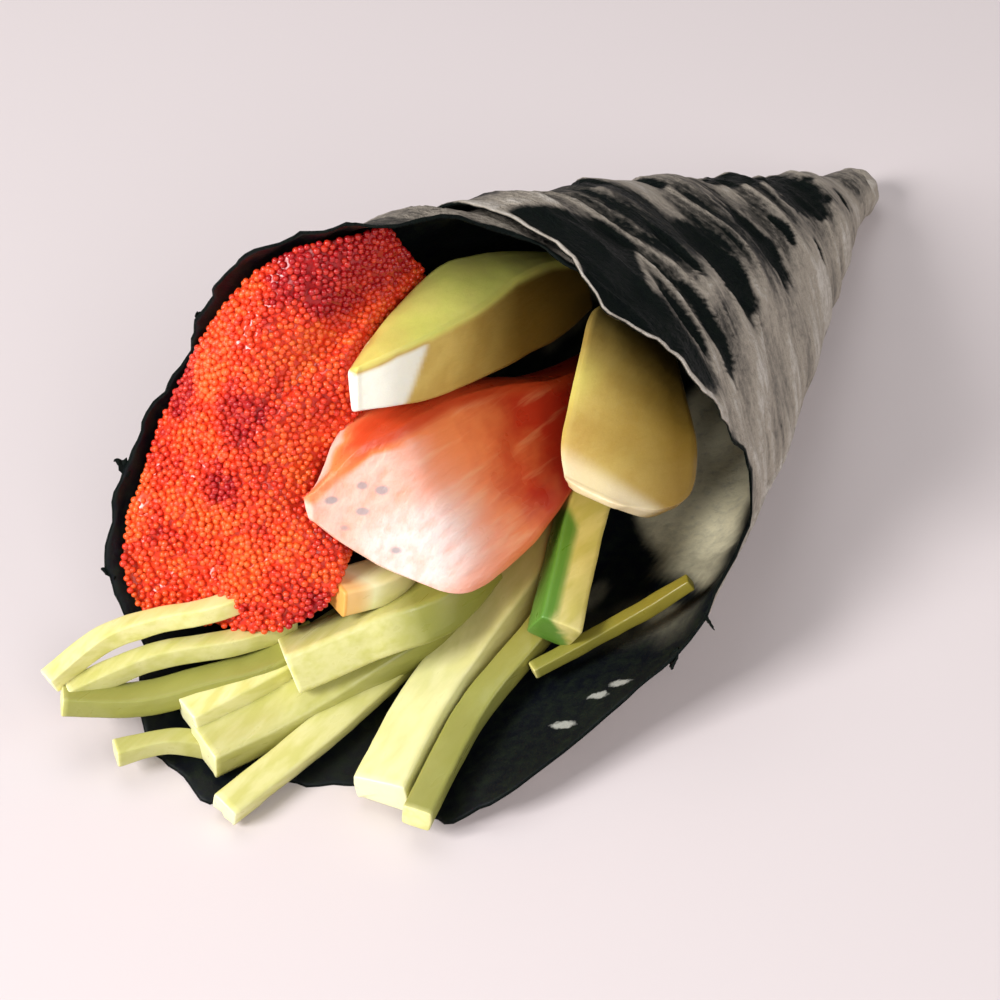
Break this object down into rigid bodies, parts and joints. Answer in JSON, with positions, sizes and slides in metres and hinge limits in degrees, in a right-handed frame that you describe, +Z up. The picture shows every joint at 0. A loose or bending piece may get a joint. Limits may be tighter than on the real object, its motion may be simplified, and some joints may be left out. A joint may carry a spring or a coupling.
{
  "type": "temaki hand roll",
  "caption": "Cone-shaped sushi hand roll of nori lying on its side, its open mouth full of tobiko, salmon, avocado and cucumber sticks.",
  "frame": {"origin": "point on the flat resting strip of the nori, under the middle of the cone", "axes": "+X along the table towards the closed tip, the mouth faces -X; +Z up; +Y across the roll"},
  "size_m": [0.1278, 0.0567, 0.0513],
  "materials": {
    "nori": "crinkled dried seaweed sheet with a satin sheen",
    "tobiko": "wet glossy fish roe",
    "salmon": "moist raw fish with pale lines",
    "avocado": "soft satin cut flesh, green near the edge",
    "cucumber": "moist cut cucumber flesh",
    "cucumber_skin": "moist cucumber flesh with dark green skin"
  },
  "bodies": {
    "root": {"avocado_slice_side": "avocado", "avocado_slice_top": "avocado", "cucumber_sliver_low": "cucumber", "cucumber_sliver_middle": "cucumber", "cucumber_sliver_stub": "cucumber", "cucumber_sliver_top": "cucumber", "cucumber_stick_back": "cucumber", "cucumber_stick_green": "cucumber_skin", "cucumber_stick_left": "cucumber", "cucumber_stick_low": "cucumber", "cucumber_stick_middle": "cucumber", "cucumber_stick_wide": "cucumber", "cucumber_thin_left": "cucumber", "cucumber_thin_right": "cucumber", "cucumber_thread": "cucumber", "nori_wrap": "nori", "salmon_slice": "salmon", "tobiko_heap": "tobiko"}
  },
  "joints": []
}
